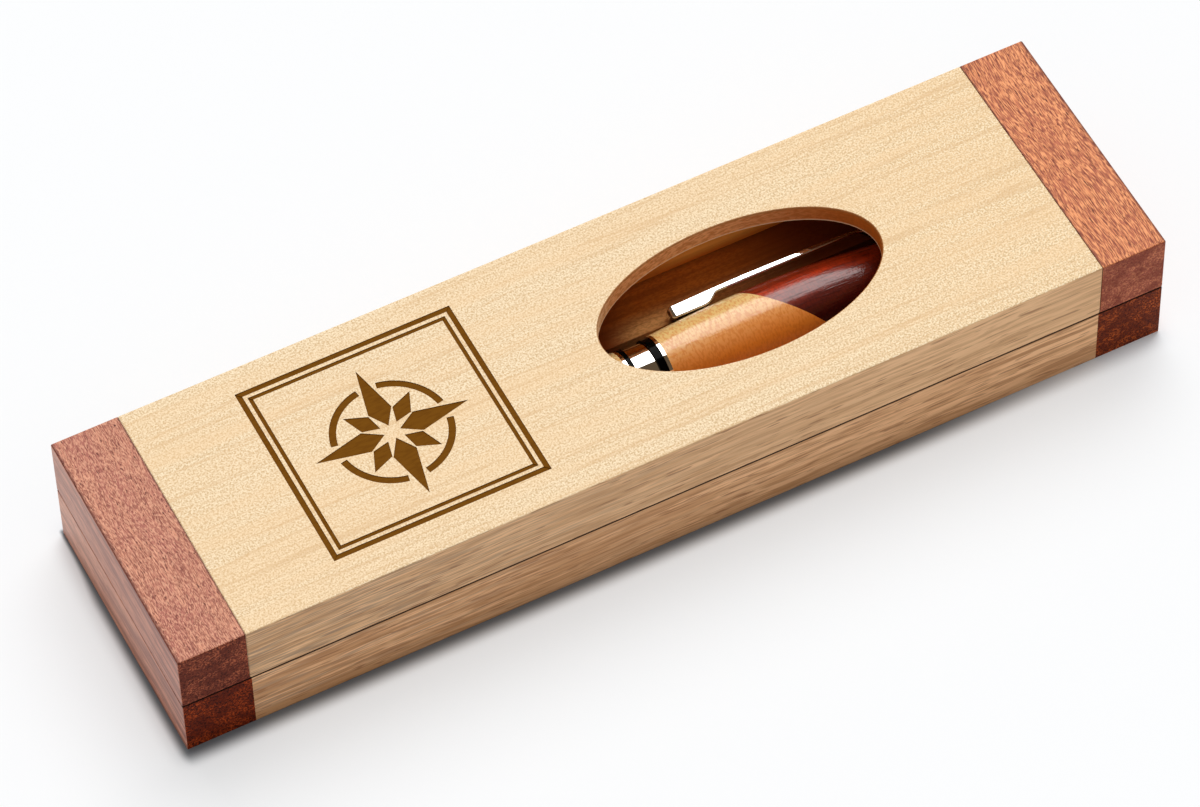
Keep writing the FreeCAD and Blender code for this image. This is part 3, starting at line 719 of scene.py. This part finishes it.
# Painted shadow: the sheet darkens near the box's foot, less so towards the lamp at +X.
near_foot = between(acrylic_tree, past_foot, 0.0038, 0.0002)
away_from_lamp = between(acrylic_tree, x, 0.100, 0.035)
foot_shade = reckon(acrylic_tree, "MULTIPLY", near_foot, away_from_lamp)
clear_of_foot = reckon(acrylic_tree, "SUBTRACT", 1.0, foot_shade)
sheet_colour = tinted(acrylic_tree, foot_shade, sheet_white, shade(sheet_white, 0.24, 0.25, 0.26))
acrylic_tree.links.new(sheet_colour, acrylic_shader.inputs["Base Color"])
acrylic_shader.inputs["Specular IOR Level"].default_value = 0.1
glow = acrylic_tree.nodes.new("ShaderNodeEmission")
away = outside_of(acrylic_tree, half_length, half_width)
kind = acrylic_tree.nodes.new("ShaderNodeLightPath")
seen = reckon(acrylic_tree, "MAXIMUM", kind.outputs["Is Camera Ray"], kind.outputs["Is Glossy Ray"])
# The glow fades near the box, which deepens the painted shadow.
glowing = between(acrylic_tree, away, -0.3 * glow_margin, glow_margin, sheet_glow)
share = reckon(acrylic_tree, "MULTIPLY", reckon(acrylic_tree, "MULTIPLY", glowing, clear_of_foot), seen)
lit = acrylic_tree.nodes.new("ShaderNodeMixShader")
acrylic_tree.links.new(share, lit.inputs["Fac"])
acrylic_tree.links.new(acrylic_shader.outputs["BSDF"], lit.inputs[1])
acrylic_tree.links.new(glow.outputs["Emission"], lit.inputs[2])
below = acrylic_tree.nodes.new("ShaderNodeNewGeometry")
clear = acrylic_tree.nodes.new("ShaderNodeBsdfTransparent")
one_way = acrylic_tree.nodes.new("ShaderNodeMixShader")
acrylic_tree.links.new(below.outputs["Backfacing"], one_way.inputs["Fac"])
acrylic_tree.links.new(lit.outputs["Shader"], one_way.inputs[1])
acrylic_tree.links.new(clear.outputs["BSDF"], one_way.inputs[2])
acrylic_tree.links.new(one_way.outputs["Shader"], acrylic_tree.nodes["Material Output"].inputs["Surface"])

ground_shape = bmesh.new()
rims = []
for reach_x, reach_y in ((6.0, 6.0), (half_length - sheet_lap, half_width - sheet_lap)):
    corners = ((-1, -1), (1, -1), (1, 1), (-1, 1))
    rims.append([ground_shape.verts.new((reach_x * i, reach_y * j, -sheet_gap)) for i, j in corners])
for side in range(4):
    following = (side + 1) % 4
    ground_shape.faces.new((rims[0][side], rims[0][following], rims[1][following], rims[1][side]))
ground_mesh = bpy.data.meshes.new("acrylic sheet")
ground_shape.to_mesh(ground_mesh)
ground_shape.free()
ground_mesh.materials.append(acrylic)
ground = bpy.data.objects.new("acrylic_sheet", ground_mesh)
bpy.context.scene.collection.objects.link(ground)

lamp = bpy.data.lights.new("softbox", "SUN")
lamp.energy = lamp_level
lamp.angle = math.radians(lamp_spread)
lamp_holder = bpy.data.objects.new("softbox", lamp)
lamp_holder.rotation_euler = lamp_direction.to_track_quat("Z", "Y").to_euler()
bpy.context.scene.collection.objects.link(lamp_holder)

room = bpy.data.worlds.new("white walls")
room.use_nodes = True
bpy.context.scene.world = room
room_tree = room.node_tree
path = room_tree.nodes.new("ShaderNodeLightPath")
mirrored = reckon(room_tree, "MAXIMUM", path.outputs["Is Glossy Ray"], path.outputs["Is Transmission Ray"])
height = room_tree.nodes.new("ShaderNodeSeparateXYZ")
room_tree.links.new(room_tree.nodes.new("ShaderNodeTexCoord").outputs["Generated"], height.inputs["Vector"])
over = between(room_tree, height.outputs["Z"], 0.25, 0.50)
level = reckon(room_tree, "MAXIMUM", path.outputs["Is Camera Ray"], mirrored)
background = room_tree.nodes["Background"]
room_tree.links.new(tinted(room_tree, reckon(room_tree, "MULTIPLY", mirrored, over), (wall_white,) * 3, ceiling_colour),
                    background.inputs["Color"])
room_tree.links.new(reckon(room_tree, "MULTIPLY_ADD", level, 1.0 - fill_level, fill_level), background.inputs["Strength"])


# Camera. It looks down from the front left through a long lens, slightly rolled.

camera_place = (-0.28161, -0.57700, 0.87938)
camera_azimuth = -25.793
camera_elevation = 53.626
camera_roll = -1.720
focal_length = 198.63

lens = bpy.data.cameras.new("camera")
lens.sensor_fit = "HORIZONTAL"
lens.sensor_width = 36.0
lens.lens = focal_length
lens.clip_start = 0.01
lens.clip_end = 50.0
camera = bpy.data.objects.new("camera", lens)
camera.matrix_world = (
    Matrix.Translation(camera_place)
    @ Matrix.Rotation(math.radians(camera_azimuth), 4, "Z")
    @ Matrix.Rotation(math.radians(90 - camera_elevation), 4, "X")
    @ Matrix.Rotation(math.radians(camera_roll), 4, "Z")
)
bpy.context.scene.collection.objects.link(camera)
bpy.context.scene.camera = camera
bpy.context.scene.view_settings.view_transform = "Standard"
